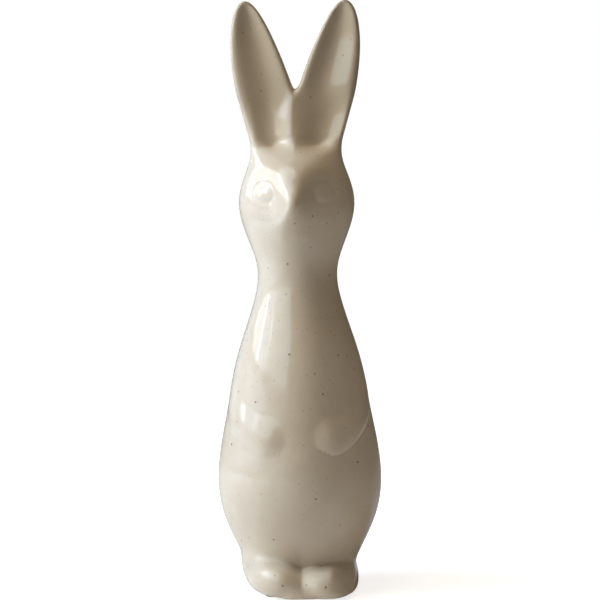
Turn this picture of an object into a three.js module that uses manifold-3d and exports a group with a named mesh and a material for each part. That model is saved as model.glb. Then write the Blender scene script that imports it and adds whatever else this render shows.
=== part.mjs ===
// A tall standing rabbit in glazed stoneware, hollow inside, luted together from castings.
// Units are millimetres. The rabbit faces -Y and +Z is up, with the floor at zero.
// Left and right are the rabbit's own, so its left side is on +X.
// The feature that takes the most skill is the pair of leaf-shaped ears with their channels.

import * as THREE from 'three';
import { mergeVertices } from 'three/addons/utils/BufferGeometryUtils.js';
import Module from 'manifold-3d';

// Levels of the body and head, each height measured from the level below it
const ankle_height = 16;
const haunch_rise = 20;
const belly_rise = 28;
const waist_rise = 30;
const chest_rise = 21;
const shoulder_rise = 28;
const neck_rise = 19;
const jaw_rise = 23;
const cheek_rise = 13;
const brow_rise = 12;
const crown_rise = 13;

// Half width, depth to the front and depth to the back at each level
const ankle_half_width = 29.8;
const ankle_front = 29;
const ankle_back = 29.5;
const haunch_half_width = 38.8;
const haunch_front = 38;
const haunch_back = 38.5;
const belly_half_width = 41.3;
const belly_front = 41;
const belly_back = 40;
const waist_half_width = 36;
const waist_front = 36.5;
const waist_back = 34.5;
const chest_half_width = 31.9;
const chest_front = 32;
const chest_back = 30.5;
const shoulder_half_width = 23.2;
const shoulder_front = 22.5;
const shoulder_back = 24;
const neck_half_width = 20.4;
const neck_front = 19;
const neck_back = 21.5;
const jaw_half_width = 27.6;
const jaw_front = 24;
const jaw_back = 26;
const cheek_half_width = 29.3;
const cheek_front = 25;
const cheek_back = 28;
const brow_half_width = 26.2;
const brow_front = 21;
const brow_back = 25;
const crown_half_width = 22.3;
const crown_front = 9.5;
const crown_back = 11;

// Face, on the front of the head
const head_turn = 3;
const nose_rise = 9.5;
const snout_reach = 11.5;
const snout_half_width = 7.5;
const snout_below = 25;
const ridge_sharpness = 2.6;
const ridge_falloff = 1.3;
const forehead_half_width = 24;
const forehead_fullness = 4.5;
const forehead_flare = 1.5;
const socket_depth = 1.9;
const socket_spread = 17;
const socket_drop = 6;
const socket_radius = 8.5;
const eye_relief = 1.6;
const eye_spread = 15.2;
const eye_rise = 5.5;
const eye_radius = 3.6;

// Cast walls, the foot ring and the disc that closes the body
const wall = 4.5;
const drum_radius = 22;
const drum_step = 3.5;
const disc_rebate = 1.6;
const disc_thickness = 3.6;
const vent_diameter = 8;
const vent_chamfer = 0.8;
const seam_gap = 0.3;

// Ears: they share a ridge from the crown up to the fork, and are leaf-shaped blades above it.
// A span is from the middle plane to an ear's outer edge.
const ear_fork_rise = 26.2;
const ear_blade_length = 49.1;
const ear_root_span = 22.3;
const ear_fork_span = 29.7;
const ear_ridge_share = 0.82;
const ear_tip_spread = 25.4;
const ear_spread_bias = 1.24;
const ear_point = 1.55;
const ear_root_depth = 9.6;
const ear_fork_depth = 6.6;
const ear_tip_depth = 4.2;
const ear_channel_depth = 6.6;
const ear_channel_roundness = 3.4;
const ear_channel_floor = 1;
const ear_channel_ramp = 6;
const ear_lean = 3;

// Forelimbs: points on the body, as an angle from the front and a height above the floor of the body
const arm_shoulder_angle = 84;
const arm_shoulder_height = 128;
const arm_elbow_angle = 74;
const arm_elbow_height = 99;
const arm_wrist_angle = 47;
const arm_wrist_height = 85;
const arm_paw_angle = 27;
const arm_paw_height = 79;
const arm_shoulder_radius = 6;
const arm_elbow_radius = 8;
const arm_wrist_radius = 7;
const arm_paw_radius = 8.2;
const arm_depth_ratio = 0.62;
const arm_shoulder_relief = 0.8;
const arm_elbow_relief = 1.8;
const arm_wrist_relief = 2.5;
const arm_paw_relief = 2.4;

// Feet: two lobes round the foot ring, turned a little to the rabbit's right. The gap
// between the toes lies to the left of the middle and leans, and the left toe is rounder.
const feet_turn = -1.5;
const feet_half_width = 30.1;
const feet_toe_reach = 45.5;
const feet_heel_reach = 29.5;
const feet_squareness = 2.35;
const foot_height = 17.5;
const foot_top_radius = 10;
const foot_sole_radius = 5;
const toe_gap_shift = 1.9;
const toe_gap_lean = 9;
const toe_gap_rounding = 0.5;
const left_toe_sharpness = 3.4;
const right_toe_sharpness = 6;

// Tail, on the back above the foot ring
const tail_radius = 10;
const tail_height = 33;
const tail_proud = 6;

// Felt pads under the figurine, set back from the toes so that they do not show
const pad_diameter = 8;
const pad_thickness = 1.2;
const pad_chamfer = 0.2;
const pad_glue = 0.3;
const pad_front_inset = 18.5;
const pad_rear_inset = 6.3;
const pad_front_angle = 30;
const pad_rear_angle = 38;

// Fineness of the faceting
const body_sides = 44;
const head_sides = 52;
const ear_sides = 22;
const cavity_sides = 28;
const limb_sides = 16;
const foot_sides = 44;
const round_sides = 32;
const tail_sides = 20;
const pad_sides = 20;
const body_rings = 26;
const head_rings = 24;
const ear_rings = 20;
const arm_rings = 22;
const arm_tip_rings = 4;
const cavity_rings = 15;

const wasm = await Module();
wasm.setup();

const radians = THREE.MathUtils.degToRad;
const lerp = THREE.MathUtils.lerp;
const lift = pad_thickness + pad_glue;

function stack(rises) {
  let height = 0;
  return rises.map((rise) => (height += rise));
}

const levels = stack([
  ankle_height, haunch_rise, belly_rise, waist_rise, chest_rise, shoulder_rise, neck_rise,
  jaw_rise, cheek_rise, brow_rise, crown_rise,
]);
const half_widths = [
  ankle_half_width, haunch_half_width, belly_half_width, waist_half_width, chest_half_width,
  shoulder_half_width, neck_half_width, jaw_half_width, cheek_half_width, brow_half_width,
  crown_half_width,
];
const fronts = [
  ankle_front, haunch_front, belly_front, waist_front, chest_front, shoulder_front, neck_front,
  jaw_front, cheek_front, brow_front, crown_front,
];
const backs = [
  ankle_back, haunch_back, belly_back, waist_back, chest_back, shoulder_back, neck_back,
  jaw_back, cheek_back, brow_back, crown_back,
];
const neck_height = levels[6];
const jaw_height = levels[7];
const brow_height = levels[9];
const crown_height = levels[10];
const nose_height = jaw_height + nose_rise;

// A smooth curve through the values at the levels
function smooth(values, height) {
  let i = 0;
  while (i < levels.length - 2 && height > levels[i + 1]) i += 1;
  const slope = (k) => {
    const before = Math.max(k - 1, 0);
    const after = Math.min(k + 1, levels.length - 1);
    return (values[after] - values[before]) / (levels[after] - levels[before]);
  };
  const step = levels[i + 1] - levels[i];
  const t = THREE.MathUtils.clamp((height - levels[i]) / step, 0, 1);
  const cubic = t * t * (3 - 2 * t);
  const start = t * (1 - t) * (1 - t) * step * slope(i);
  const end = t * t * (1 - t) * step * slope(i + 1);
  return lerp(values[i], values[i + 1], cubic) + start - end;
}

// A closed solid over a stack of rings, each counter-clockwise seen from above
function skin(rings) {
  const count = rings[0].length;
  const points = rings.flat();
  const faces = [];
  for (let r = 0; r < rings.length - 1; r += 1) {
    for (let i = 0; i < count; i += 1) {
      const a = r * count + i;
      const b = r * count + ((i + 1) % count);
      faces.push(a, b, b + count, a, b + count, a + count);
    }
  }
  const centre = (ring) => {
    const sum = ring.reduce((total, point) => total.add(point), new THREE.Vector3());
    return sum.divideScalar(ring.length);
  };
  const bottom = points.length;
  const last = (rings.length - 1) * count;
  const ends = [centre(rings[0]), centre(rings[rings.length - 1])];
  for (let i = 0; i < count; i += 1) {
    const j = (i + 1) % count;
    faces.push(bottom, j, i, bottom + 1, last + i, last + j);
  }
  const positions = points.concat(ends).flatMap((point) => point.toArray());
  const geometry = new THREE.BufferGeometry();
  geometry.setAttribute('position', new THREE.Float32BufferAttribute(positions, 3));
  geometry.setIndex(faces);
  return geometry;
}

function solid(geometry) {
  const bare = geometry.clone();
  bare.deleteAttribute('normal');
  bare.deleteAttribute('uv');
  const merged = mergeVertices(bare, 1e-4);
  const mesh = new wasm.Mesh({
    numProp: 3,
    vertProperties: new Float32Array(merged.attributes.position.array),
    triVerts: new Uint32Array(merged.index.array),
  });
  return new wasm.Manifold(mesh);
}

function geometryOf(body) {
  const mesh = body.getMesh();
  const geometry = new THREE.BufferGeometry();
  geometry.setAttribute('position', new THREE.BufferAttribute(mesh.vertProperties, 3));
  geometry.setIndex(new THREE.BufferAttribute(mesh.triVerts, 1));
  return geometry;
}

// A solid of revolution about Z, from a profile of [radius, height] points
function turned(profile, sides = round_sides) {
  const outline = profile.map(([radius, height]) => new THREE.Vector2(radius, height));
  return new THREE.LatheGeometry(outline, sides).rotateX(Math.PI / 2);
}

// A soft round dab, full in the middle and gone at about twice its radius
function fade(distance, radius) {
  return Math.exp(-((distance / radius) ** 2));
}

// What the face adds to the front of the head: forehead and snout as one tapering plane,
// less the eye sockets beside it
function face(x, height) {
  const up = THREE.MathUtils.clamp((height - nose_height) / (crown_height - nose_height), 0, 1);
  const down = THREE.MathUtils.clamp((nose_height - height) / snout_below, 0, 1);
  const half_width = lerp(snout_half_width, forehead_half_width, up ** forehead_flare)
    * (1 + down);
  const rise = height >= nose_height
    ? lerp(snout_reach, forehead_fullness, 1 - (1 - up) ** forehead_flare) * (1 - up ** 4)
    : snout_reach * (1 - down * down) ** 2;
  const across = (1 + Math.abs(x / half_width) ** ridge_sharpness) ** -ridge_falloff;
  const from_socket = Math.hypot(Math.abs(x) - socket_spread, height - brow_height + socket_drop);
  const from_eye = Math.hypot(Math.abs(x) - eye_spread, height - nose_height - eye_rise);
  return rise * across - socket_depth * fade(from_socket, socket_radius)
    + eye_relief * fade(from_eye, eye_radius);
}

// A ring of the body or head at a height, moved out by grow
function ring(height, { grow = 0, sides = body_sides, scale = 1, relief = false } = {}) {
  const half = (smooth(half_widths, height) + grow) * scale;
  const front = (smooth(fronts, height) + grow) * scale;
  const back = (smooth(backs, height) + grow) * scale;
  return Array.from({ length: sides }, (_, i) => {
    const turn = (2 * Math.PI * i) / sides;
    const angle = relief ? turn - 0.45 * Math.sin(turn) : turn;
    const x = half * Math.sin(angle);
    const ahead = Math.cos(angle);
    const y = ahead > 0 ? -front * ahead : -back * ahead;
    const extra = relief && ahead > 0 ? face(x, height) * Math.min(1, 3 * ahead) : 0;
    return new THREE.Vector3(x, y - extra, height);
  });
}

function circle(radius, height, sides) {
  return Array.from({ length: sides }, (_, i) => {
    const angle = (2 * Math.PI * i) / sides;
    return new THREE.Vector3(radius * Math.sin(angle), -radius * Math.cos(angle), height);
  });
}

function heightsBetween(low, high, steps) {
  return Array.from({ length: steps + 1 }, (_, i) => lerp(low, high, i / steps));
}

// The outer form of the body, from the foot ring to the neck
function bodyForm(grow = 0) {
  const drum = drum_radius + grow;
  const rings = [
    circle(drum, -grow, body_sides),
    circle(drum, ankle_height - drum_step - grow, body_sides),
  ];
  rings.push(ring(ankle_height - grow, { grow }));
  for (const height of heightsBetween(ankle_height, neck_height, body_rings).slice(1)) {
    rings.push(ring(height, { grow }));
  }
  return skin(rings);
}

function headForm(grow = 0) {
  const heights = heightsBetween(neck_height, crown_height, head_rings);
  return skin(heights.map((height) => ring(height, { grow, sides: head_sides, relief: true })));
}

function bodyCavity() {
  const land = drum_radius - wall;
  const lowest = disc_rebate + disc_thickness;
  const rings = [
    circle(land, -wall, cavity_sides),
    circle(land, Math.max(ankle_height, lowest), cavity_sides),
  ];
  for (const height of heightsBetween(ankle_height + wall, neck_height, cavity_rings)) {
    rings.push(ring(height, { grow: -wall, sides: cavity_sides }));
  }
  rings.push(ring(neck_height, { grow: -wall, sides: cavity_sides })
    .map((point) => point.setZ(neck_height + wall)));
  return skin(rings);
}

function headCavity() {
  const top = crown_height - 2 * wall;
  const dome = 2 * wall;
  const rings = [
    ring(neck_height, { grow: -wall, sides: cavity_sides })
      .map((point) => point.setZ(neck_height - wall)),
  ];
  for (const height of heightsBetween(neck_height, top - dome, Math.ceil(cavity_rings / 2))) {
    rings.push(ring(height, { grow: -wall, sides: cavity_sides }));
  }
  for (const angle of [30, 60, 84]) {
    const height = top - dome * (1 - Math.sin(radians(angle)));
    const scale = Math.cos(radians(angle));
    rings.push(ring(height, { grow: -wall, sides: cavity_sides, scale }));
  }
  return skin(rings);
}

function makeTorso() {
  const rebate_radius = drum_radius - wall + disc_rebate;
  const rebate = turned([
    [0, -wall],
    [rebate_radius, -wall],
    [rebate_radius, disc_thickness + disc_rebate],
    [0, disc_thickness + disc_rebate],
  ], cavity_sides);
  return geometryOf(solid(bodyForm()).subtract(solid(bodyCavity())).subtract(solid(rebate)));
}

function makeHead() {
  return geometryOf(solid(headForm()).subtract(solid(headCavity())));
}

// The clay disc sits up in the rebate, a little above the foot ring
function makeBaseDisc() {
  const rim = drum_radius - wall + disc_rebate - seam_gap;
  const bore = vent_diameter / 2;
  const low = disc_rebate;
  const high = disc_rebate + disc_thickness - seam_gap;
  return turned([
    [bore + vent_chamfer, low],
    [rim - vent_chamfer, low],
    [rim, low + vent_chamfer],
    [rim, high],
    [bore, high],
    [bore, low + vent_chamfer],
    [bore + vent_chamfer, low],
  ]);
}

// Centre, half width and half depth of an ear at a height above the crown. Below the fork
// the middle plane cuts off its inner edge, which leaves the ridge between the channels.
function earSection(rise) {
  const low = Math.min(rise / ear_fork_rise, 1);
  const t = THREE.MathUtils.clamp((rise - ear_fork_rise) / ear_blade_length, 0, 1);
  const span = lerp(ear_root_span, ear_fork_span, low);
  const shared = lerp(ear_ridge_share, 1, low ** 4);
  const half = span / (1 + shared) * Math.sqrt(Math.max(1 - t ** ear_point, 0));
  const spread = 1 - (1 - t) ** ear_spread_bias;
  const centre = span * shared / (1 + shared) + (ear_tip_spread - ear_fork_span / 2) * spread;
  const flared = lerp(ear_root_depth, ear_fork_depth, 1 - (1 - low) ** 2);
  const full = lerp(flared, ear_tip_depth, t);
  return { centre, half, depth: full * Math.min(1, Math.sqrt(half / full / 1.6)) };
}

// One ring of an ear: a convex back, a rounded rim and a channel down the front
function earRing(rise) {
  const { centre, half, depth } = earSection(rise);
  const top = ear_fork_rise + ear_blade_length;
  const start = THREE.MathUtils.smoothstep(
    rise, ear_channel_floor - ear_channel_ramp, ear_channel_floor);
  const finish = Math.sqrt(Math.max(1 - (rise / top) ** 6, 0));
  const channel = ear_channel_depth * start * finish * Math.min(1, depth / ear_tip_depth);
  const back_lean = Math.tan(radians(ear_lean)) * rise;
  return Array.from({ length: ear_sides }, (_, i) => {
    const angle = (2 * Math.PI * i) / ear_sides;
    const x = Math.max(centre + half * Math.cos(angle), seam_gap / 2);
    const across = Math.sin(angle);
    const y = across > 0
      ? depth * across
      : depth * across + channel * Math.abs(across) ** ear_channel_roundness;
    return new THREE.Vector3(x, y + back_lean, crown_height + seam_gap + rise);
  });
}

function makeEar() {
  const top = ear_fork_rise + ear_blade_length - seam_gap;
  const almost_all = 0.999;
  const rings = Array.from({ length: ear_rings + 1 }, (_, i) => {
    const share = almost_all * (1 - (1 - i / ear_rings) ** 1.5);
    return earRing(share * top);
  });
  return skin(rings);
}

// A point on the body, sunk below its surface
function bodyPoint(angle_degrees, height, sunk) {
  const angle = radians(angle_degrees);
  const half = smooth(half_widths, height) - sunk;
  const front = smooth(fronts, height) - sunk;
  return new THREE.Vector3(half * Math.sin(angle), -front * Math.cos(angle), height);
}

// A forelimb laid on the body in low relief, as a sausage that swells at elbow and paw
function makeArm(body) {
  const stations = [
    [arm_shoulder_angle, arm_shoulder_height, arm_shoulder_radius, arm_shoulder_relief],
    [arm_elbow_angle, arm_elbow_height, arm_elbow_radius, arm_elbow_relief],
    [arm_wrist_angle, arm_wrist_height, arm_wrist_radius, arm_wrist_relief],
    [arm_paw_angle, arm_paw_height, arm_paw_radius, arm_paw_relief],
  ];
  const centres = stations.map(([angle, height, radius, relief]) => (
    bodyPoint(angle, height, radius * arm_depth_ratio - relief)));
  const path = new THREE.CatmullRomCurve3(centres, false, 'centripetal');
  const radii = stations.map(([, , radius]) => radius);
  const rings = [];
  const place = (t, offset, shrink) => {
    const along = path.getTangent(t);
    const centre = path.getPoint(t).addScaledVector(along, offset);
    const outward = new THREE.Vector3(centre.x, centre.y, 0).normalize();
    const side = new THREE.Vector3().crossVectors(along, outward).normalize();
    outward.crossVectors(side, along).normalize();
    const span = t * (radii.length - 1);
    const k = Math.min(Math.floor(span), radii.length - 2);
    const ease = THREE.MathUtils.smoothstep(span - k, 0, 1);
    const radius = lerp(radii[k], radii[k + 1], ease) * shrink;
    rings.push(Array.from({ length: limb_sides }, (_, i) => {
      const angle = (2 * Math.PI * i) / limb_sides;
      return centre.clone()
        .addScaledVector(side, radius * Math.cos(angle))
        .addScaledVector(outward, -radius * arm_depth_ratio * Math.sin(angle));
    }));
  };
  const nearly_closed = 0.98;
  const tips = Array.from({ length: arm_tip_rings }, (_, i) => (
    90 * nearly_closed * (1 - i / arm_tip_rings)));
  for (const tip of tips) {
    place(0, -arm_shoulder_radius * Math.sin(radians(tip)), Math.cos(radians(tip)));
  }
  for (let i = 0; i <= arm_rings; i += 1) place(i / arm_rings, 0, 1);
  for (const tip of tips.toReversed()) {
    place(1, arm_paw_radius * Math.sin(radians(tip)), Math.cos(radians(tip)));
  }
  return geometryOf(solid(skin(rings)).subtract(body));
}

// Distance from the middle of a foot to its edge, where the outline of both feet, less its
// rounding, and the gap between them meet in a soft corner
function footReach(angle, middle_x, middle_y, { gap_x, sharpness, rounding }) {
  const dx = Math.cos(angle);
  const dy = Math.sin(angle);
  const outline = (reach) => {
    const x = Math.abs(middle_x + dx * reach) / feet_half_width;
    const y = middle_y + dy * reach;
    const depth = y < 0 ? feet_toe_reach : feet_heel_reach;
    return x ** feet_squareness + (Math.abs(y) / depth) ** feet_squareness;
  };
  let low = 0;
  let high = feet_toe_reach + feet_half_width;
  for (let i = 0; i < 30; i += 1) {
    const middle = (low + high) / 2;
    if (outline(middle) > 1) high = middle;
    else low = middle;
  }
  const to_outline = low - rounding;
  const to_gap = dx < 0 ? (middle_x - gap_x) / -dx : Infinity;
  return (to_outline ** -sharpness + to_gap ** -sharpness) ** (-1 / sharpness);
}

function makeFoot(body, side, sharpness) {
  const middle_x = feet_half_width / 2;
  const middle_y = -feet_toe_reach / 4;
  const inset = (radius, past) => (
    radius - Math.sqrt(Math.max(radius ** 2 - Math.max(past, 0) ** 2, 0)));
  const shares = [0, 0.25, 0.6, 1];
  const heights = [
    ...shares.map((share) => share * foot_sole_radius),
    ...[0, 0.3, 0.55, 0.75, 0.9, 0.98].map((share) => (
      foot_height - foot_top_radius * (1 - share))),
  ];
  const rings = heights.map((height) => {
    const lean = height * Math.tan(radians(toe_gap_lean));
    const at_top = inset(foot_top_radius, height - foot_height + foot_top_radius);
    const at_sole = inset(foot_sole_radius, foot_sole_radius - height);
    const edges = {
      gap_x: seam_gap + side * (toe_gap_shift - lean) + at_top * toe_gap_rounding,
      sharpness,
      rounding: at_top + at_sole,
    };
    return Array.from({ length: foot_sides }, (_, i) => {
      const angle = (2 * Math.PI * i) / foot_sides;
      const reach = footReach(angle, middle_x, middle_y, edges);
      const x = middle_x + reach * Math.cos(angle);
      return new THREE.Vector3(x, middle_y + reach * Math.sin(angle), height);
    });
  });
  const lobe = side < 0 ? mirror(skin(rings)) : skin(rings);
  lobe.rotateZ(radians(feet_turn));
  return geometryOf(solid(lobe).subtract(body));
}

function makeTail(body) {
  const ball = new THREE.SphereGeometry(tail_radius, tail_sides, tail_sides / 2).rotateX(Math.PI / 2);
  ball.translate(0, smooth(backs, tail_height) + tail_proud - tail_radius, tail_height);
  return geometryOf(solid(ball).subtract(body));
}

function makePad() {
  const radius = pad_diameter / 2;
  return turned([
    [0, 0],
    [radius - pad_chamfer, 0],
    [radius, pad_chamfer],
    [radius, pad_thickness - pad_chamfer],
    [radius - pad_chamfer, pad_thickness],
    [0, pad_thickness],
  ], pad_sides);
}

// The mirror image in the plane between the rabbit's two sides
function mirror(geometry) {
  const copy = geometry.clone();
  copy.scale(-1, 1, 1);
  const index = copy.index.array;
  for (let i = 0; i < index.length; i += 3) {
    [index[i], index[i + 1]] = [index[i + 1], index[i]];
  }
  return copy;
}

const glaze = { color: 0xd9ccba, roughness: 0.14, metalness: 0 };
const bisque = { color: 0xc9bda6, roughness: 0.85, metalness: 0 };
const felt = { color: 0xb9b2a4, roughness: 0.95, metalness: 0 };

const figurine = new THREE.Group();
const head_group = new THREE.Group();
head_group.rotation.z = radians(-head_turn);
figurine.add(head_group);

function add(parent, name, geometry, finish) {
  const mesh = new THREE.Mesh(geometry, new THREE.MeshStandardMaterial(finish));
  mesh.name = name;
  parent.add(mesh);
  return mesh;
}

const body_seat = solid(bodyForm(seam_gap));
add(figurine, 'torso', makeTorso(), glaze);
add(figurine, 'base_disc', makeBaseDisc(), bisque);

const head = add(head_group, 'head', makeHead(), glaze);
head.position.z = seam_gap;
const ear = makeEar();
for (const [name, geometry] of [['ear_left', ear], ['ear_right', mirror(ear)]]) {
  add(head_group, name, geometry, glaze).position.z = seam_gap;
}

const arm = makeArm(body_seat);
add(figurine, 'arm_left', arm, glaze);
add(figurine, 'arm_right', mirror(arm), glaze);
add(figurine, 'foot_left', makeFoot(body_seat, 1, left_toe_sharpness), glaze);
add(figurine, 'foot_right', makeFoot(body_seat, -1, right_toe_sharpness), glaze);
add(figurine, 'tail', makeTail(body_seat), glaze);

// Pads: one under the ball of each foot and one under each heel
const pad_spots = [
  ['pad_front_left', pad_front_angle, feet_toe_reach - pad_front_inset],
  ['pad_front_right', -pad_front_angle, feet_toe_reach - pad_front_inset],
  ['pad_rear_left', 180 - pad_rear_angle, feet_heel_reach - pad_rear_inset],
  ['pad_rear_right', 180 + pad_rear_angle, feet_heel_reach - pad_rear_inset],
];
for (const [name, angle, radius] of pad_spots) {
  const turn = radians(angle + feet_turn);
  const pad = add(figurine, name, makePad(), felt);
  pad.position.set(radius * Math.sin(turn), -radius * Math.cos(turn), -lift);
}

// The origin is the middle of the footprint of everything, on the floor
const box = new THREE.Box3().setFromObject(figurine);
const middle = box.getCenter(new THREE.Vector3());
figurine.position.set(-middle.x, -middle.y, -box.min.z);
console.log(`figurine ${(box.max.x - box.min.x).toFixed(2)} wide, `
  + `${(box.max.y - box.min.y).toFixed(2)} deep, ${(box.max.z - box.min.z).toFixed(2)} tall`);
figurine.updateMatrixWorld(true);

export default figurine;
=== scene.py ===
"""A tall standing rabbit in speckled glazed stoneware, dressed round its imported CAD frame.

The glaze flows over every seam between the castings, so the visible skin is one closed
surface. It is described by a distance field in millimetres, in the figurine's own axes:
the middle of the foot ring is the origin, the rabbit faces -Y and its left side is on +X.
"""

import math

import bpy
import numpy as np
from mathutils import Matrix, Vector


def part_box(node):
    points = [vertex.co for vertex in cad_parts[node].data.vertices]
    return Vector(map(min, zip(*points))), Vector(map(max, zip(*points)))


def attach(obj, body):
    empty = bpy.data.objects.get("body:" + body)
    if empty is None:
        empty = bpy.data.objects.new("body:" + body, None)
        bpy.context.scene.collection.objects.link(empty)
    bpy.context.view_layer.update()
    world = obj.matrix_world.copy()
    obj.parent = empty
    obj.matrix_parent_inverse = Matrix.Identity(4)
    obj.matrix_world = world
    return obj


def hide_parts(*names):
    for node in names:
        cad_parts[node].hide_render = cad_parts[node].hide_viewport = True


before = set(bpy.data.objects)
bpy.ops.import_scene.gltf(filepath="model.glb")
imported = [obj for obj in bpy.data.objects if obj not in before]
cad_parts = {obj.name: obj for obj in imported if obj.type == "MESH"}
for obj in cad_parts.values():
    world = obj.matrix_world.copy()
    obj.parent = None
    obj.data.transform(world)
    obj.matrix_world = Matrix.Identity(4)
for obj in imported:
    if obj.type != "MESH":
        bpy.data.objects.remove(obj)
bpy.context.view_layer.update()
MM = 0.001

# The foot of the body's axis: under the middle of the base disc, at the bottom of the torso
AXIS_FOOT = sum(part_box("base_disc"), Vector()) / 2
AXIS_FOOT.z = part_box("torso")[0].z

# Heights of the body's levels and its half width and depth there, as in the castings
LEVELS = (0, 16, 36, 64, 94, 115, 143, 162, 185, 198, 210, 223, 236)
HALF_WIDTHS = (23, 29.8, 38.8, 41.3, 36, 31.9, 23.2, 20.4, 27.6, 29.3, 26.2, 21.2, 17)
FRONTS = (22, 29, 38, 41, 36.5, 32, 22.5, 19, 24, 25, 21, 8, 2)
BACKS = (22, 29.5, 38.5, 40, 34.5, 30.5, 24, 21.5, 26, 28, 25, 11, 2)
NECK_HEIGHT = 162
CROWN_HEIGHT = 223
EAR_TOP = 298.5
# Over what height above and below the neck the head turns, and over what depth on either
# side of the axis the front turns into the back
NECK_TWIST = 14
SIDE_BLEND = 8
# The walls lean, so a level distance to them is a little longer than the true one
LEAN_SHARE = 0.93

# Profile of the face from the side, and how wide its ridge is on the way up
RIDGE_HEIGHTS = (150, 161, 173, 185, 194.5, 204, 213, 223, 236)
RIDGE_REACH = (21.2, 19.4, 22.5, 30, 36.3, 31.5, 24, 9, 2)
RIDGE_HALF_WIDTH = (14, 14, 13, 9.5, 7.5, 10.5, 16, 24, 26)
RIDGE_SHOULDER = 2.6
RIDGE_FALL = 1.3
HEAD_TURN = 3
# The face comes in over this depth in front of the head's axis
FACE_START = 9
# How far the chin lies to the rabbit's right of the brow, and the heights that the shift spans
CHIN_SHIFT = {"by": 2.5, "from": 197, "to": 182}
SOCKET = {"depth": 1.9, "spread": 17, "height": 204, "radius": 8.5}
EYE = {"relief": 0.8, "spread": 15.2, "height": 200.5, "radius": 3.9}
EYE_GROOVE = {"depth": 0.25, "radius": 5.2, "width": 1.3}

# Ears: they share a ridge up to the fork, and are leaf-shaped blades above it. Their roots
# reach this far down into the head
EAR_ROOTS = 12
EAR_FORK = 26.2
EAR_BLADE = 49.1
EAR_ROOT_SPAN = 22.3
EAR_FORK_SPAN = 29.7
EAR_RIDGE = 0.82
EAR_TIP_SPREAD = 25.4
EAR_SPREAD_BIAS = 1.24
EAR_POINT = 1.55
EAR_ROOT_DEPTH = 9.6
EAR_FORK_DEPTH = 6.6
EAR_TIP_DEPTH = 4.2
EAR_TIP_SLIMNESS = 1.6
EAR_CHANNEL = 6.2
EAR_CHANNEL_POWER = 1.5
EAR_CHANNEL_RAMP = (-4, 1)
EAR_THINNEST = 0.5
EAR_LEAN = 3
# How far a channel's deepest line lies inward of the ear's middle, in half widths of the ear.
# At its foot the left ear's line lies outward
EAR_CHANNEL_SHIFT = 0.08
LEFT_CHANNEL_SHIFT = -0.34
# How far the ridge lies to the rabbit's right at its foot, and the rises that the shift spans
EAR_RIDGE_SHIFT = {"by": 3.6, "from": 34, "to": 14}
CROWN_DIP = {"rim": 3, "depth": 3, "spread": 10, "radius": 10}

# Arms in low relief: angle from the front, height, radius and relief at each joint
ARM_STATIONS = (
    (84, 130, 7, 0.0),
    (76, 112, 7.5, 0.3),
    (74, 99, 8, 0.6),
    (47, 85, 7, 2.2),
    (27, 79, 8.2, 2.0),
)
ARM_POINTS = 49
# No arm reaches further than this above or below its path, or behind the body's axis
ARM_ROOM = {"height": 14, "behind": 12}
# An arm is soft on its inner side, above the forearm, and crisp on its outer side, below it:
# how wide each side is, in radii, and how its relief rounds off
SOFT_ARM = {"reach": 1.55, "power": 2.0}
CRISP_ARM = {"reach": 1.0, "power": 0.75}
# Where soft turns into crisp on the way across, from -1 straight inward to 1 straight outward
ARM_EDGE = (-0.6, 0.7)
# How much of the left arm's crispness the right arm has
RIGHT_ARM_CRISPNESS = 0.4

# Feet
FEET_TURN = -1.5
TOE_REACH = 45.5
HEEL_REACH = 29.5
FEET_SQUARENESS = 2.35
# How round the sole's edge is at the middle, how that changes towards +X, and its limits
SOLE_ROUNDING = {"middle": 8, "slope": -0.22, "least": 3, "most": 18}
TOE_GAP_SHIFT = 1.9
TOE_GAP_LEAN = 9
TOE_GAP_OVERLAP = 1.5
# Where a lobe starts to lean with the gap, and where it leans fully, inward from its middle
TOE_LEAN_REACH = (-4, 8)
# The toes get lower between these distances in front of the axis, and more so between these
# distances outside a lobe's middle
TOE_FALL = (14, 36)
TOE_SIDE = (2, 14)
# The web closes the foot of the gap, this far inside the toes' outline
TOE_WEB = {"half_width": 16, "inset": 1.5, "rounding": 3}
# The ankle's fillet is larger on the right foot, between these distances from the axis
ANKLE_FILLET = {"left": 2.5, "right": 6, "from": 4, "to": 24}
# Middle and outer edge of each lobe, how round it is beside the gap, its height, and how
# much lower it is at the toe and at the toe's outer side
LEFT_FOOT = {"middle": 12, "outer": 29.6, "rounding": 6, "height": 16, "fall": 3, "slope": 5}
RIGHT_FOOT = {"middle": -4.5, "outer": 30.2, "rounding": 13, "height": 18, "fall": 1.5, "slope": 0}

# Tail, and the recess that the base disc sits in
TAIL_RADIUS = 10
TAIL_HEIGHT = 33
TAIL_PROUD = 6
REBATE_RADIUS = 19.1
REBATE_DEPTH = 5.2
HOLLOW_RADIUS = 17.5
HOLLOW_DEPTH = 30

# Widths of the fillets where two forms meet
FILLET = {
    "foot_ring": 2, "crown": 5, "between_ears": 5, "ear_top": 0.4, "ear_root": 5,
    "instep": 12, "toes": 1, "toe_web": 3, "tail": 3, "sole": 1,
    "rebate": 0.5, "hollow": 8, "opening": 0.8,
}

# Cells of the grid that the surface is found in, and the room that the grid leaves beside the
# belly and in front of the toes. With this room no four faces of the skin meet at one edge
CELL = 1.0
GRID_ROOM = {"sides": 2.5, "front": 5}
# Rounds of evening out the surface, and the longest step of a point in cells
EVENING_ROUNDS = 3
LONGEST_STEP = 0.7


def radians(degrees):
    """An angle, or an array of them, in radians."""
    return degrees * math.pi / 180


def smoothstep(value, low, high):
    """Goes from 0 at low to 1 at high, smoothly at both ends."""
    t = np.clip((value - low) / (high - low), 0, 1)
    return t * t * (3 - 2 * t)


def between(start, end, share):
    """A value that is start at share 0 and end at share 1."""
    return start + (end - start) * share


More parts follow.
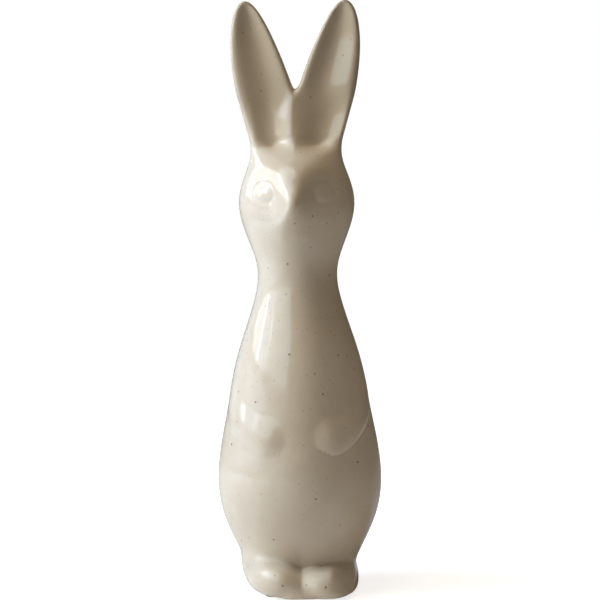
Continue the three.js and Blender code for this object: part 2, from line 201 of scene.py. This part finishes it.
def dab(distance, radius):
    """A soft round dab, full in the middle and gone at about twice its radius."""
    return np.exp(-((distance / radius) ** 2))


def soft_min(a, b, width):
    """The smaller of two distances, with a fillet where they meet."""
    near = np.clip(1 - np.abs(a - b) / width, 0, None)
    return np.minimum(a, b) - near**2 * width / 4


def soft_max(a, b, width):
    """The larger of two distances, with a fillet where they meet."""
    return -soft_min(-a, -b, width)


def spline(knots, values):
    """A natural cubic spline, as a function of an array."""
    x, y = np.array(knots, float), np.array(values, float)
    step = np.diff(x)
    count = len(x)
    system, right = np.eye(count), np.zeros(count)
    for i in range(1, count - 1):
        system[i, i - 1 : i + 2] = step[i - 1], 2 * (step[i - 1] + step[i]), step[i]
        right[i] = 6 * ((y[i + 1] - y[i]) / step[i] - (y[i] - y[i - 1]) / step[i - 1])
    bend = np.linalg.solve(system, right)

    def curve(at):
        at = np.clip(at, x[0], x[-1])
        i = np.clip(np.searchsorted(x, at) - 1, 0, count - 2)
        h, a, b = step[i], x[i + 1] - at, at - x[i]
        return (
            (bend[i] * a**3 + bend[i + 1] * b**3) / (6 * h)
            + (y[i] / h - bend[i] * h / 6) * a
            + (y[i + 1] / h - bend[i + 1] * h / 6) * b
        )

    return curve


half_width = spline(LEVELS, HALF_WIDTHS)
front_depth = spline(LEVELS, FRONTS)
back_depth = spline(LEVELS, BACKS)
ridge_reach = spline(RIDGE_HEIGHTS, RIDGE_REACH)
ridge_half_width = spline(RIDGE_HEIGHTS, RIDGE_HALF_WIDTH)


def turned(x, y, degrees):
    """Coordinates in axes that are turned about Z."""
    c, s = np.cos(radians(degrees)), np.sin(radians(degrees))
    return x * c + y * s, y * c - x * s


def face(x, z):
    """What the face adds to the front of the head."""
    rise = ridge_reach(z) - front_depth(z)
    rise = rise * smoothstep(z, RIDGE_HEIGHTS[0], RIDGE_HEIGHTS[2])
    ridge_x = -CHIN_SHIFT["by"] * smoothstep(z, CHIN_SHIFT["from"], CHIN_SHIFT["to"])
    sideways = np.abs((x - ridge_x) / ridge_half_width(z))
    across = (1 + sideways**RIDGE_SHOULDER) ** -RIDGE_FALL
    socket = np.hypot(np.abs(x) - SOCKET["spread"], z - SOCKET["height"])
    eye = np.hypot(np.abs(x) - EYE["spread"], z - EYE["height"])
    relief = rise * across - SOCKET["depth"] * dab(socket, SOCKET["radius"])
    relief = relief + EYE["relief"] * dab(eye**2, EYE["radius"] ** 2)
    return relief - EYE_GROOVE["depth"] * dab(eye - EYE_GROOVE["radius"], EYE_GROOVE["width"])


def arm_path():
    """Points along an arm on the unrolled body, with the radius and relief at each."""
    angle, height, radius, relief = np.array(ARM_STATIONS, float).T
    knots = np.arange(len(height))
    along = np.linspace(0, len(height) - 1, ARM_POINTS)
    round_by = spline(knots, radians(angle) * half_width(height))(along)
    return (
        round_by,
        spline(knots, height)(along),
        np.interp(along, knots, radius),
        np.interp(along, knots, relief),
    )


ARM = arm_path()


def arm_relief(x, y, z):
    """Height of the arms above the body: crisp below the forearm, soft above it."""
    s, h, radius, relief = ARM
    result = np.zeros_like(x)
    room = ARM_ROOM["height"]
    near = (z > h.min() - room) & (z < h.max() + room) & (y < ARM_ROOM["behind"])
    if not near.any():
        return result
    angle = np.abs(np.arctan2(x[near], -y[near]))
    px, pz = angle * half_width(z[near]), z[near]
    crispness = np.where(x[near] < 0, RIGHT_ARM_CRISPNESS, 1)
    best = np.full(px.shape, np.inf)
    height = np.zeros_like(px)
    for i in range(len(s) - 1):
        dx, dz = s[i + 1] - s[i], h[i + 1] - h[i]
        length = math.hypot(dx, dz)
        t = np.clip(((px - s[i]) * dx + (pz - h[i]) * dz) / length**2, 0, 1)
        ox, oz = px - s[i] - t * dx, pz - h[i] - t * dz
        distance = np.hypot(ox, oz)
        outer = (ox * -dz + oz * dx) / length / np.maximum(distance, 1e-6)
        r = radius[i] + t * (radius[i + 1] - radius[i])
        up = relief[i] + t * (relief[i + 1] - relief[i])
        crisp = smoothstep(outer, *ARM_EDGE) * crispness
        reach = r * between(SOFT_ARM["reach"], CRISP_ARM["reach"], crisp)
        off = distance / reach
        shape = np.clip(1 - off**2, 0, 1) ** between(SOFT_ARM["power"], CRISP_ARM["power"], crisp)
        height = np.where(off < best, up * shape, height)
        best = np.minimum(off, best)
    result[near] = height
    return result


def body(x, y, z):
    """Body and head."""
    turn = HEAD_TURN * smoothstep(z, NECK_HEIGHT - NECK_TWIST, NECK_HEIGHT + NECK_TWIST)
    hx, hy = turned(x, y, -turn)
    ahead = smoothstep(-hy, 0, FACE_START)
    moved = hy + np.where(z > RIDGE_HEIGHTS[0], face(hx, z) * ahead, 0)
    forward = smoothstep(-hy, -SIDE_BLEND, SIDE_BLEND)
    depth = between(back_depth(z), front_depth(z), forward)
    q = np.hypot(hx / half_width(z), moved / depth)
    rho = np.hypot(hx, moved)
    distance = rho * (1 - 1 / np.maximum(q, 1e-6)) - arm_relief(x, y, z)
    channel = np.clip(1 - ((np.abs(hx) - CROWN_DIP["spread"]) / CROWN_DIP["radius"]) ** 2, 0, 1)
    crown = CROWN_HEIGHT + CROWN_DIP["rim"] - CROWN_DIP["depth"] * channel
    return soft_max(distance * LEAN_SHARE, z - crown, FILLET["crown"])


def ear_section(rise):
    """Middle, half width, half depth and channel depth of an ear, by its rise above the crown."""
    low = np.clip(rise / EAR_FORK, -0.5, 1)
    up_from_root = np.clip(low, 0, 1)
    up_blade = np.clip((rise - EAR_FORK) / EAR_BLADE, 0, 1)
    span = between(EAR_ROOT_SPAN, EAR_FORK_SPAN, low)
    ridge = between(EAR_RIDGE, 1, up_from_root**4)
    half = span / (1 + ridge) * np.sqrt(np.clip(1 - up_blade**EAR_POINT, 1e-4, 1))
    spread = 1 - (1 - up_blade) ** EAR_SPREAD_BIAS
    middle = span * ridge / (1 + ridge) + (EAR_TIP_SPREAD - EAR_FORK_SPAN / 2) * spread
    depth = between(EAR_ROOT_DEPTH, EAR_FORK_DEPTH, 1 - (1 - up_from_root) ** 2)
    depth = depth + (EAR_TIP_DEPTH - EAR_FORK_DEPTH) * up_blade
    depth = depth * np.minimum(1, np.sqrt(half / depth / EAR_TIP_SLIMNESS))
    tip = np.sqrt(np.clip(1 - (rise / (EAR_FORK + EAR_BLADE)) ** 6, 0, 1))
    channel = EAR_CHANNEL * smoothstep(rise, *EAR_CHANNEL_RAMP) * tip
    return middle, half, depth, channel * np.minimum(1, depth / EAR_TIP_DEPTH)


def ear(across, y, rise, shift):
    """One ear, with a channel down the front. Across counts from the middle plane."""
    middle, half, depth, channel = ear_section(rise)
    u = (across - middle) / half
    inside = np.clip(1 - u * u, 0, 1)
    dip = channel * np.clip(1 - (u + shift * inside) ** 2, 0, 1) ** EAR_CHANNEL_POWER
    back_face = depth * np.sqrt(inside)
    through = (y + back_face - dip) / np.maximum(2 * back_face - dip, EAR_THINNEST)
    v = (y - dip * (1 - smoothstep(through, 0, 1))) / depth
    steepness = 2 * np.sqrt((u / half) ** 2 + (v / depth) ** 2)
    return (u * u + v * v - 1) / (steepness + 1e-3)


def ears(x, y, z):
    """Both ears, joined by the ridge between them."""
    hx, hy = turned(x, y, -HEAD_TURN)
    rise = z - CROWN_HEIGHT
    upright = hy - math.tan(radians(EAR_LEAN)) * np.clip(rise, 0, None)
    inner = np.clip(1 - (hx / EAR_ROOT_SPAN) ** 2, 0, 1)
    low = smoothstep(rise, EAR_RIDGE_SHIFT["from"], EAR_RIDGE_SHIFT["to"])
    hx = hx + EAR_RIDGE_SHIFT["by"] * inner * low
    left = ear(hx, upright, rise, between(EAR_CHANNEL_SHIFT, LEFT_CHANNEL_SHIFT, low))
    right = ear(-hx, upright, rise, EAR_CHANNEL_SHIFT)
    pair = soft_min(left, right, FILLET["between_ears"])
    return soft_max(pair, z - EAR_TOP, FILLET["ear_top"])


def egg(x, y, half, depth):
    """Distance from a squarish egg in plan."""
    n = FEET_SQUARENESS
    q = (np.abs(x / half) ** n + np.abs(y / depth) ** n) ** (1 / n)
    return np.hypot(x, y) * (1 - 1 / np.maximum(q, 1e-6))


def slab(plan, x, y, z, lobe, sole, lowered=0):
    """A plan made into a solid with a domed top, which falls towards the toe, and a rounded sole."""
    outward = smoothstep(np.abs(x) - abs(lobe["middle"]), *TOE_SIDE)
    fall = lobe["fall"] + lobe["slope"] * outward
    top = lobe["height"] - lowered - fall * smoothstep(-y, *TOE_FALL)
    return soft_max(soft_max(plan, z - top, FILLET["instep"]), -z, sole)


def foot(x, y, z, lobe):
    """One foot: an egg-shaped lobe that ends at the gap between the toes."""
    fx, fy = turned(x, y, FEET_TURN)
    lean = np.clip(z, 0, lobe["height"]) * math.tan(radians(TOE_GAP_LEAN))
    side = math.copysign(1, lobe["middle"])
    from_middle = fx - lobe["middle"]
    from_middle = from_middle + lean * smoothstep(-side * from_middle, *TOE_LEAN_REACH)
    depth = np.where(fy < 0, TOE_REACH, HEEL_REACH)
    outline = egg(from_middle, fy, lobe["outer"] - abs(lobe["middle"]), depth)
    to_gap = side * (TOE_GAP_SHIFT - lean - fx) - TOE_GAP_OVERLAP
    plan = soft_max(outline, to_gap, lobe["rounding"])
    sole = SOLE_ROUNDING["middle"] + SOLE_ROUNDING["slope"] * x
    sole = np.clip(sole, SOLE_ROUNDING["least"], SOLE_ROUNDING["most"])
    return slab(plan, x, y, z, lobe, sole)


def feet(x, y, z):
    """Both feet, with a web at the bottom of the gap between the toes."""
    both = soft_min(foot(x, y, z, LEFT_FOOT), foot(x, y, z, RIGHT_FOOT), FILLET["toes"])
    fx, fy = turned(x, y, FEET_TURN)
    reach = np.where(fy < 0, TOE_REACH, HEEL_REACH) - TOE_WEB["inset"]
    web = egg(fx, fy, TOE_WEB["half_width"], reach)
    web = slab(web, x, y, z, LEFT_FOOT, TOE_WEB["rounding"], lowered=TOE_WEB["inset"])
    return soft_min(both, web, FILLET["toe_web"])


def field(p):
    """Distance from the glazed surface, less than zero inside."""
    x, y, z = p[:, 0], p[:, 1], p[:, 2]
    distance = soft_max(body(x, y, z), -z, FILLET["foot_ring"])
    to_right = smoothstep(-x, ANKLE_FILLET["from"], ANKLE_FILLET["to"])
    ankle = between(ANKLE_FILLET["left"], ANKLE_FILLET["right"], to_right)
    distance = soft_min(distance, feet(x, y, z), ankle)
    tail_y = back_depth(np.array([TAIL_HEIGHT]))[0] + TAIL_PROUD - TAIL_RADIUS
    tail = np.sqrt(x * x + (y - tail_y) ** 2 + (z - TAIL_HEIGHT) ** 2) - TAIL_RADIUS
    distance = soft_max(soft_min(distance, tail, FILLET["tail"]), -z, FILLET["sole"])
    high = z > CROWN_HEIGHT - EAR_ROOTS
    if high.any():
        to_ears = ears(x[high], y[high], z[high])
        distance[high] = soft_min(distance[high], to_ears, FILLET["ear_root"])
    rho = np.hypot(x, y)
    rebate = soft_max(rho - REBATE_RADIUS, z - REBATE_DEPTH, FILLET["rebate"])
    hollow = soft_max(rho - HOLLOW_RADIUS, z - HOLLOW_DEPTH, FILLET["hollow"])
    return soft_max(distance, -np.minimum(rebate, hollow), FILLET["opening"])


def gradient(p, reach=0.05):
    """Which way the distance grows, and how fast."""
    slope = np.empty_like(p)
    for axis in range(3):
        step = np.zeros(3)
        step[axis] = reach
        slope[:, axis] = (field(p + step) - field(p - step)) / (2 * reach)
    return slope


def settle(points, rounds):
    """Moves points onto the surface."""
    for _ in range(rounds):
        slope = gradient(points)
        size = np.maximum((slope**2).sum(1), 0.05)
        step = -(field(points) / size)[:, None] * slope
        length = np.linalg.norm(step, axis=1, keepdims=True)
        limit = LONGEST_STEP * CELL / np.maximum(length, 1e-9)
        points = points + step * np.minimum(1, limit)
    return points


def surface_net(low, high, cell):
    """Quads round the cells that the surface passes through, and their corner points."""
    axes = [np.arange(a - 2 * cell, b + 2 * cell, cell) for a, b in zip(low, high)]
    shape = tuple(len(a) for a in axes)
    values = np.empty(shape)
    for k, z in enumerate(axes[2]):
        gx, gy = np.meshgrid(axes[0], axes[1], indexing="ij")
        layer = np.stack([gx.ravel(), gy.ravel(), np.full(gx.size, z)], 1)
        values[:, :, k] = field(layer).reshape(shape[:2])
    inside = values < 0
    total = np.zeros(tuple(n - 1 for n in shape) + (3,))
    count = np.zeros(tuple(n - 1 for n in shape))
    quads = []
    numbers = np.arange(count.size).reshape(count.shape)
    for axis in range(3):
        first = [slice(None)] * 3
        second = [slice(None)] * 3
        first[axis], second[axis] = slice(0, -1), slice(1, None)
        a, b = values[tuple(first)], values[tuple(second)]
        crossed = inside[tuple(first)] != inside[tuple(second)]
        at = np.argwhere(crossed)
        share = a[crossed] / (a[crossed] - b[crossed])
        point = at.astype(float)
        point[:, axis] += share
        one, two = [other for other in range(3) if other != axis]
        around = []
        for d_one, d_two in ((-1, -1), (0, -1), (0, 0), (-1, 0)):
            cellat = at.copy()
            cellat[:, one] += d_one
            cellat[:, two] += d_two
            np.add.at(total, tuple(cellat.T), point)
            np.add.at(count, tuple(cellat.T), 1)
            around.append(numbers[tuple(cellat.T)])
        quad = np.stack(around, 1)
        flip = (a[crossed] < 0) == (axis == 1)
        quad[flip] = quad[flip][:, ::-1]
        quads.append(quad)
    quads = np.concatenate(quads)
    used, quads = np.unique(quads, return_inverse=True)
    quads = quads.reshape(-1, 4)
    middle = total.reshape(-1, 3)[used] / count.reshape(-1)[used][:, None]
    origin = np.array([a[0] for a in axes])
    return origin + middle * cell, quads


def relax(points, quads):
    """Each point moves to the middle of its neighbours along the quads' edges."""
    ends = np.concatenate([quads[:, [i, (i + 1) % 4]] for i in range(4)])
    ends = np.concatenate([ends, ends[:, ::-1]])
    number = np.bincount(ends[:, 0], minlength=len(points))
    middle = np.stack(
        [np.bincount(ends[:, 0], points[ends[:, 1], k], len(points)) for k in range(3)], 1
    )
    return middle / number[:, None]


def make_skin():
    """The glazed surface as one closed mesh."""
    side = max(HALF_WIDTHS) + GRID_ROOM["sides"]
    low = (-side, -TOE_REACH - GRID_ROOM["front"], 0)
    high = (side, max(BACKS) + TAIL_PROUD, EAR_TOP)
    points, quads = surface_net(low, high, CELL)
    points = settle(points, 3)
    for _ in range(EVENING_ROUNDS):
        points = settle(0.5 * points + 0.5 * relax(points, quads), 2)
    normals = gradient(points)
    normals /= np.linalg.norm(normals, axis=1, keepdims=True)
    mesh = bpy.data.meshes.new("glazed_skin")
    mesh.from_pydata((points * MM + np.array(AXIS_FOOT)).tolist(), [], quads.tolist())
    mesh.shade_smooth()
    mesh.normals_split_custom_set_from_vertices(normals.tolist())
    skin = bpy.data.objects.new("glazed_skin", mesh)
    bpy.context.scene.collection.objects.link(skin)
    return skin


class Nodes:
    """A short way to write a material's node tree."""

    def __init__(self, name):
        self.material = bpy.data.materials.new(name)
        self.material.use_nodes = True
        self.tree = self.material.node_tree
        self.shader = self.tree.nodes["Principled BSDF"]
        self.output = self.tree.nodes["Material Output"]

    def node(self, kind, inputs=(), **settings):
        """A new node with its inputs linked or set."""
        node = self.tree.nodes.new(kind)
        for key, value in settings.items():
            setattr(node, key, value)
        for key, value in dict(inputs).items():
            self.put(node.inputs[key], value)
        return node

    def put(self, socket, value):
        """Links a socket to another node's output, or sets it."""
        if isinstance(value, bpy.types.NodeSocket):
            self.tree.links.new(value, socket)
        else:
            socket.default_value = value

    def math(self, operation, a, b=0.0, c=0.0):
        """A sum or another operation on numbers."""
        node = self.node("ShaderNodeMath", {0: a, 1: b, 2: c}, operation=operation)
        return node.outputs[0]

    def place(self):
        """The point in millimetres."""
        spot = self.node("ShaderNodeTexCoord").outputs["Object"]
        scaled = self.node("ShaderNodeVectorMath", {0: spot}, operation="SCALE")
        scaled.inputs["Scale"].default_value = 1 / MM
        return scaled.outputs[0]

    def noise(self, at, size, detail=3.0, roughness=0.5):
        """Noise about 0 to 1, with features about size millimetres across."""
        inputs = {"Vector": at, "Scale": 1 / size, "Detail": detail, "Roughness": roughness}
        return self.node("ShaderNodeTexNoise", inputs).outputs["Fac"]

    def ramp(self, value, low, high, to_low=0.0, to_high=1.0, smooth=False):
        """A value that goes from to_low to to_high while the given one goes from low to high."""
        inputs = {0: value, 1: low, 2: high, 3: to_low, 4: to_high}
        kind = "SMOOTHSTEP" if smooth else "LINEAR"
        node = self.node("ShaderNodeMapRange", inputs, interpolation_type=kind)
        return node.outputs[0]

    def mix(self, share, a, b):
        """A colour between two others."""
        node = self.node("ShaderNodeMix", data_type="RGBA")
        self.put(node.inputs[0], share)
        self.put(node.inputs[6], a)
        self.put(node.inputs[7], b)
        return node.outputs[2]

    def bump(self, height, distance):
        """Fine relief of the surface, where a height of 1 is the given distance."""
        inputs = {"Height": height, "Distance": distance, "Strength": 1.0}
        self.put(self.shader.inputs["Normal"], self.node("ShaderNodeBump", inputs).outputs[0])

    def specks(self, at, cell, keep, small, large, soft):
        """Round flecks of small to large radius in millimetres, in a share of the cells."""
        inputs = {"Vector": at, "Scale": 1 / cell}
        cells = self.node("ShaderNodeTexVoronoi", inputs)
        chance = self.node("ShaderNodeSeparateColor", {0: cells.outputs["Color"]}).outputs
        size = self.math("MULTIPLY_ADD", self.math("POWER", chance[0], 2.5), large - small, small)
        away = self.math("MULTIPLY", cells.outputs["Distance"], cell)
        inner = self.math("SUBTRACT", size, away)
        spot = self.ramp(inner, -soft, soft, smooth=True)
        kept = self.math("LESS_THAN", chance[1], keep)
        return self.math("MULTIPLY", spot, kept)


def srgb(red, green, blue):
    """A colour as a shader takes it, from its values on a screen."""

    def linear(value):
        c = value / 255
        return c / 12.92 if c <= 0.04045 else ((c + 0.055) / 1.055) ** 2.4

    return (linear(red), linear(green), linear(blue), 1.0)


# The glaze ends just above the sole, and painted shade darkens its colour from the crown up the ears
GLAZE_EDGE = (2.0, 2.25)
EAR_SHADE_HEIGHTS = (222, 250)
EAR_SHADE_SHARE = 0.5
# The cells that hold the specks, in millimetres, and the share of them that holds one
BOLD_CELLS = {"cell": 4.2, "keep": 0.66}
FINE_CELLS = {"cell": 2.3, "keep": 0.75}


def make_glaze():
    """Glossy greige glaze with iron specks, which ends above the bare clay of the sole."""
    n = Nodes("speckled_glaze")
    at = n.place()
    cloud = n.noise(at, 34, 3)
    grain = n.noise(at, 5, 2)
    colour = n.mix(n.ramp(cloud, 0.35, 0.65), srgb(213, 201, 182), srgb(221, 210, 193))
    colour = n.mix(n.ramp(grain, 0.3, 0.7, 0.0, 0.35), colour, srgb(210, 198, 179))
    wobble = n.node("ShaderNodeTexNoise", {"Vector": at, "Scale": 1.2, "Detail": 1.0})
    shift = n.node("ShaderNodeVectorMath", {0: wobble.outputs["Color"]}, operation="SCALE")
    shift.inputs["Scale"].default_value = 0.55
    ragged = n.node("ShaderNodeVectorMath", {0: at, 1: shift.outputs[0]}, operation="ADD").outputs[0]
    bold = n.specks(ragged, small=0.16, large=0.5, soft=0.12, **BOLD_CELLS)
    fine = n.specks(ragged, small=0.1, large=0.3, soft=0.08, **FINE_CELLS)
    halo = n.specks(ragged, small=0.4, large=0.9, soft=0.45, **BOLD_CELLS)
    colour = n.mix(n.math("MULTIPLY", halo, 0.18), colour, srgb(150, 132, 105))
    colour = n.mix(n.math("MULTIPLY", fine, 0.6), colour, srgb(112, 92, 68))
    colour = n.mix(n.math("MULTIPLY", bold, 0.8), colour, srgb(74, 56, 40))
    height = n.node("ShaderNodeSeparateXYZ", {0: at}).outputs[2]
    # Painted shade: the ears' colour is darkened from the crown up
    painted_ear_shade = n.ramp(height, *EAR_SHADE_HEIGHTS, 0.0, EAR_SHADE_SHARE)
    colour = n.mix(painted_ear_shade, colour, srgb(160, 145, 124))
    edge = n.math("ADD", height, n.math("MULTIPLY", grain, 0.5))
    bare = n.ramp(edge, *GLAZE_EDGE, 1.0, 0.0)
    clay_grain = n.noise(at, 0.7, 4)
    clay = n.mix(clay_grain, srgb(205, 192, 170), srgb(184, 169, 145))
    n.put(n.shader.inputs["Base Color"], n.mix(bare, colour, clay))
    dull = n.ramp(n.noise(at, 9, 4), 0.3, 0.7, 0.06, 0.11)
    rough = n.math("ADD", dull, n.math("MULTIPLY", bold, 0.12))
    n.put(n.shader.inputs["Roughness"], n.math("MAXIMUM", rough, n.math("MULTIPLY", bare, 0.85)))
    n.shader.inputs["IOR"].default_value = 1.52
    waves = n.math("MULTIPLY", n.noise(at, 16, 2), 0.30)
    peel = n.math("MULTIPLY", n.noise(at, 2.4, 2), 0.012)
    pits = n.math("MULTIPLY", bold, -0.05)
    clay_bump = n.math("MULTIPLY", n.math("MULTIPLY", clay_grain, bare), 0.2)
    total = n.math("ADD", n.math("ADD", waves, peel), n.math("ADD", pits, clay_bump))
    n.bump(total, MM)
    return n.material


def make_bisque():
    """Unglazed fired clay."""
    n = Nodes("fired_clay")
    at = n.place()
    grain = n.noise(at, 0.6, 4, 0.6)
    patch = n.noise(at, 11, 3)
    colour = n.mix(n.ramp(patch, 0.3, 0.7), srgb(208, 195, 172), srgb(192, 177, 152))
    colour = n.mix(n.math("MULTIPLY", grain, 0.35), colour, srgb(160, 143, 118))
    flecks = n.specks(at, cell=4.0, keep=0.7, small=0.15, large=0.5, soft=0.12)
    colour = n.mix(n.math("MULTIPLY", flecks, 0.6), colour, srgb(92, 70, 50))
    n.put(n.shader.inputs["Base Color"], colour)
    n.put(n.shader.inputs["Roughness"], n.ramp(grain, 0.2, 0.8, 0.78, 0.95))
    n.bump(grain, 0.15 * MM)
    return n.material


def make_felt():
    """Pale felt of pressed fibres."""
    n = Nodes("pad_felt")
    at = n.place()
    fibre = n.noise(at, 0.35, 6, 0.7)
    tuft = n.noise(at, 1.6, 3)
    colour = n.mix(fibre, srgb(150, 142, 130), srgb(204, 197, 184))
    colour = n.mix(n.math("MULTIPLY", tuft, 0.4), colour, srgb(172, 164, 150))
    n.put(n.shader.inputs["Base Color"], colour)
    n.put(n.shader.inputs["Roughness"], n.ramp(fibre, 0.2, 0.8, 0.85, 1.0))
    n.shader.inputs["Sheen Weight"].default_value = 0.4
    n.shader.inputs["Sheen Roughness"].default_value = 0.5
    n.bump(fibre, 0.25 * MM)
    return n.material


def dress(piece, material):
    """Gives a piece its one material."""
    piece.data.materials.clear()
    piece.data.materials.append(material)


def dress_all():
    """The skin in place of the glazed castings, and materials on the disc and the pads."""
    glaze, bisque, felt = make_glaze(), make_bisque(), make_felt()
    skin = make_skin()
    dress(skin, glaze)
    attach(skin, "root")
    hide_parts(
        "torso", "head", "ear_left", "ear_right", "arm_left", "arm_right",
        "foot_left", "foot_right", "tail",
    )
    dress(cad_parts["base_disc"], bisque)
    for name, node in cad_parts.items():
        if name.startswith("pad_"):
            dress(node, felt)


# Camera: where the photographer stood, in metres from the figurine's axis
CAMERA_DISTANCE = 0.9987
CAMERA_HEIGHT = 0.2015
CAMERA_ROLL = 0.66
AIM_HEIGHT = 0.1475
AIM_SIDE = 0.0011
PICTURE_WIDTH = 0.306
SENSOR_WIDTH = 36


def make_camera():
    """The camera, which sees PICTURE_WIDTH metres at the figurine's distance."""
    camera = bpy.data.objects.new("camera", bpy.data.cameras.new("camera"))
    bpy.context.scene.collection.objects.link(camera)
    axis = Vector((AXIS_FOOT.x, AXIS_FOOT.y, 0))
    start = axis + Vector((0, -CAMERA_DISTANCE, CAMERA_HEIGHT))
    aim = axis + Vector((AIM_SIDE, 0, AIM_HEIGHT))
    look = (aim - start).to_track_quat("-Z", "Y").to_matrix()
    roll = Matrix.Rotation(radians(-CAMERA_ROLL), 3, "Z")
    camera.matrix_world = Matrix.Translation(start) @ (look @ roll).to_4x4()
    camera.data.sensor_width = SENSOR_WIDTH
    camera.data.lens = SENSOR_WIDTH * CAMERA_DISTANCE / PICTURE_WIDTH
    camera.data.clip_start = 0.05
    bpy.context.scene.camera = camera


# Lamps: azimuth and elevation in degrees, distance, width and height in metres, watts, colour.
# The daylight lights the glaze, and what the glaze mirrors is set apart from it
DAYLIGHT = {
    "window_light": (75, 20, 0.9, 0.3, 0.5, 5.6, (0.98, 1.0, 0.94)),
    "sky_light": (95, 20, 0.9, 0.3, 0.5, 5.0, (0.36, 0.6, 1.0)),
    "ceiling_light": (60, 70, 0.9, 0.5, 0.5, 2.6, (1.0, 0.84, 0.64)),
}
MIRRORED = {
    "wall": (44, 34, 2.4, 1.9, 1.5, 20, (0.7, 0.92, 1.0)),
    "curtain": (77, 34, 2.4, 0.93, 1.5, 14, (0.61, 0.76, 1.0)),
    "front_pane": (88, 31, 0.6, 0.05, 0.34, 0.5, (0.85, 0.93, 1.0)),
    "between_panes": (99, 31, 0.6, 0.16, 0.34, 0.65, (0.85, 0.93, 1.0)),
    "rear_pane": (111, 31, 0.6, 0.05, 0.34, 0.5, (0.85, 0.93, 1.0)),
    "table": (80, 3, 0.9, 0.8, 0.25, 0.9, (0.63, 0.65, 1.0)),
    "ceiling": (70, 72, 0.8, 0.5, 0.5, 1.9, (0.7, 0.95, 1.0)),
    "room": (135, 20, 0.8, 0.5, 0.6, 0.5, (0.2, 0.5, 1.0)),
}
# The rest of the room, as the world's light
ROOM_COLOUR = (1.0, 0.77, 0.53, 1)
ROOM_STRENGTH = 0.122
WHITE = (1, 1, 1, 1)
# Half the floor's side in metres, how strongly the camera sees it glow near the figurine and
# far from it, and between which distances in millimetres the glow grows
FLOOR_HALF = 6.0
GLOW = (0.8, 1.0)
GLOW_REACH = (60, 260)


def make_lamp(name, azimuth, elevation, distance, width, height, power, colour):
    """A rectangular lamp aimed at the middle. Azimuth 0 is in front, 90 at the picture's left."""
    a, e = radians(azimuth), radians(elevation)
    way = Vector((-math.sin(a) * math.cos(e), -math.cos(a) * math.cos(e), math.sin(e)))
    data = bpy.data.lights.new(name, "AREA")
    data.shape = "RECTANGLE"
    data.size, data.size_y = width, height
    data.energy = power
    data.color = colour
    lamp = bpy.data.objects.new(name, data)
    bpy.context.scene.collection.objects.link(lamp)
    lamp.location = Vector((0, 0, AIM_HEIGHT)) + way * distance
    lamp.rotation_mode = "QUATERNION"
    lamp.rotation_quaternion = (-way).to_track_quat("-Z", "Y")
    return lamp


def make_lights():
    """Daylight from the left, which isn't mirrored, and lamps that are seen in mirrors only."""
    for name, lamp in DAYLIGHT.items():
        make_lamp(name, *lamp).visible_glossy = False
    for name, lamp in MIRRORED.items():
        make_lamp(name, *lamp).visible_diffuse = False


def make_world():
    """A dim warm room that the camera sees as white."""
    world = bpy.data.worlds.new("studio")
    bpy.context.scene.world = world
    world.use_nodes = True
    tree = world.node_tree
    room = tree.nodes["Background"]
    room.inputs["Color"].default_value = ROOM_COLOUR
    room.inputs["Strength"].default_value = ROOM_STRENGTH
    white = tree.nodes.new("ShaderNodeBackground")
    white.inputs["Color"].default_value = WHITE
    white.inputs["Strength"].default_value = 1.0
    rays = tree.nodes.new("ShaderNodeLightPath")
    mix = tree.nodes.new("ShaderNodeMixShader")
    tree.links.new(rays.outputs["Is Camera Ray"], mix.inputs[0])
    tree.links.new(room.outputs[0], mix.inputs[1])
    tree.links.new(white.outputs[0], mix.inputs[2])
    tree.links.new(mix.outputs[0], tree.nodes["World Output"].inputs["Surface"])


def make_floor():
    """A pale floor that keeps the shadow, and turns white for the camera away from it."""
    mesh = bpy.data.meshes.new("floor")
    sides = ((-1, -1), (1, -1), (1, 1), (-1, 1))
    corners = [(x * FLOOR_HALF, y * FLOOR_HALF, 0) for x, y in sides]
    mesh.from_pydata(corners, [], [(0, 1, 2, 3)])
    floor = bpy.data.objects.new("floor", mesh)
    bpy.context.scene.collection.objects.link(floor)
    n = Nodes("pale_floor")
    n.put(n.shader.inputs["Base Color"], srgb(243, 241, 237))
    n.shader.inputs["Roughness"].default_value = 0.9
    n.shader.inputs["Specular IOR Level"].default_value = 0.1
    away = n.node("ShaderNodeVectorMath", {0: n.place()}, operation="LENGTH").outputs["Value"]
    strength = n.ramp(away, *GLOW_REACH, *GLOW, smooth=True)
    glow = n.node("ShaderNodeEmission", {"Color": WHITE, "Strength": strength})
    both = n.node("ShaderNodeAddShader", {0: n.shader.outputs[0], 1: glow.outputs[0]})
    rays = n.node("ShaderNodeLightPath")
    mix = n.node("ShaderNodeMixShader")
    n.put(mix.inputs[0], rays.outputs["Is Camera Ray"])
    n.put(mix.inputs[1], n.shader.outputs[0])
    n.put(mix.inputs[2], both.outputs[0])
    n.put(n.output.inputs["Surface"], mix.outputs[0])
    mesh.materials.append(n.material)


make_camera()
dress_all()
make_lights()
make_world()
make_floor()
bpy.context.scene.view_settings.view_transform = "Standard"
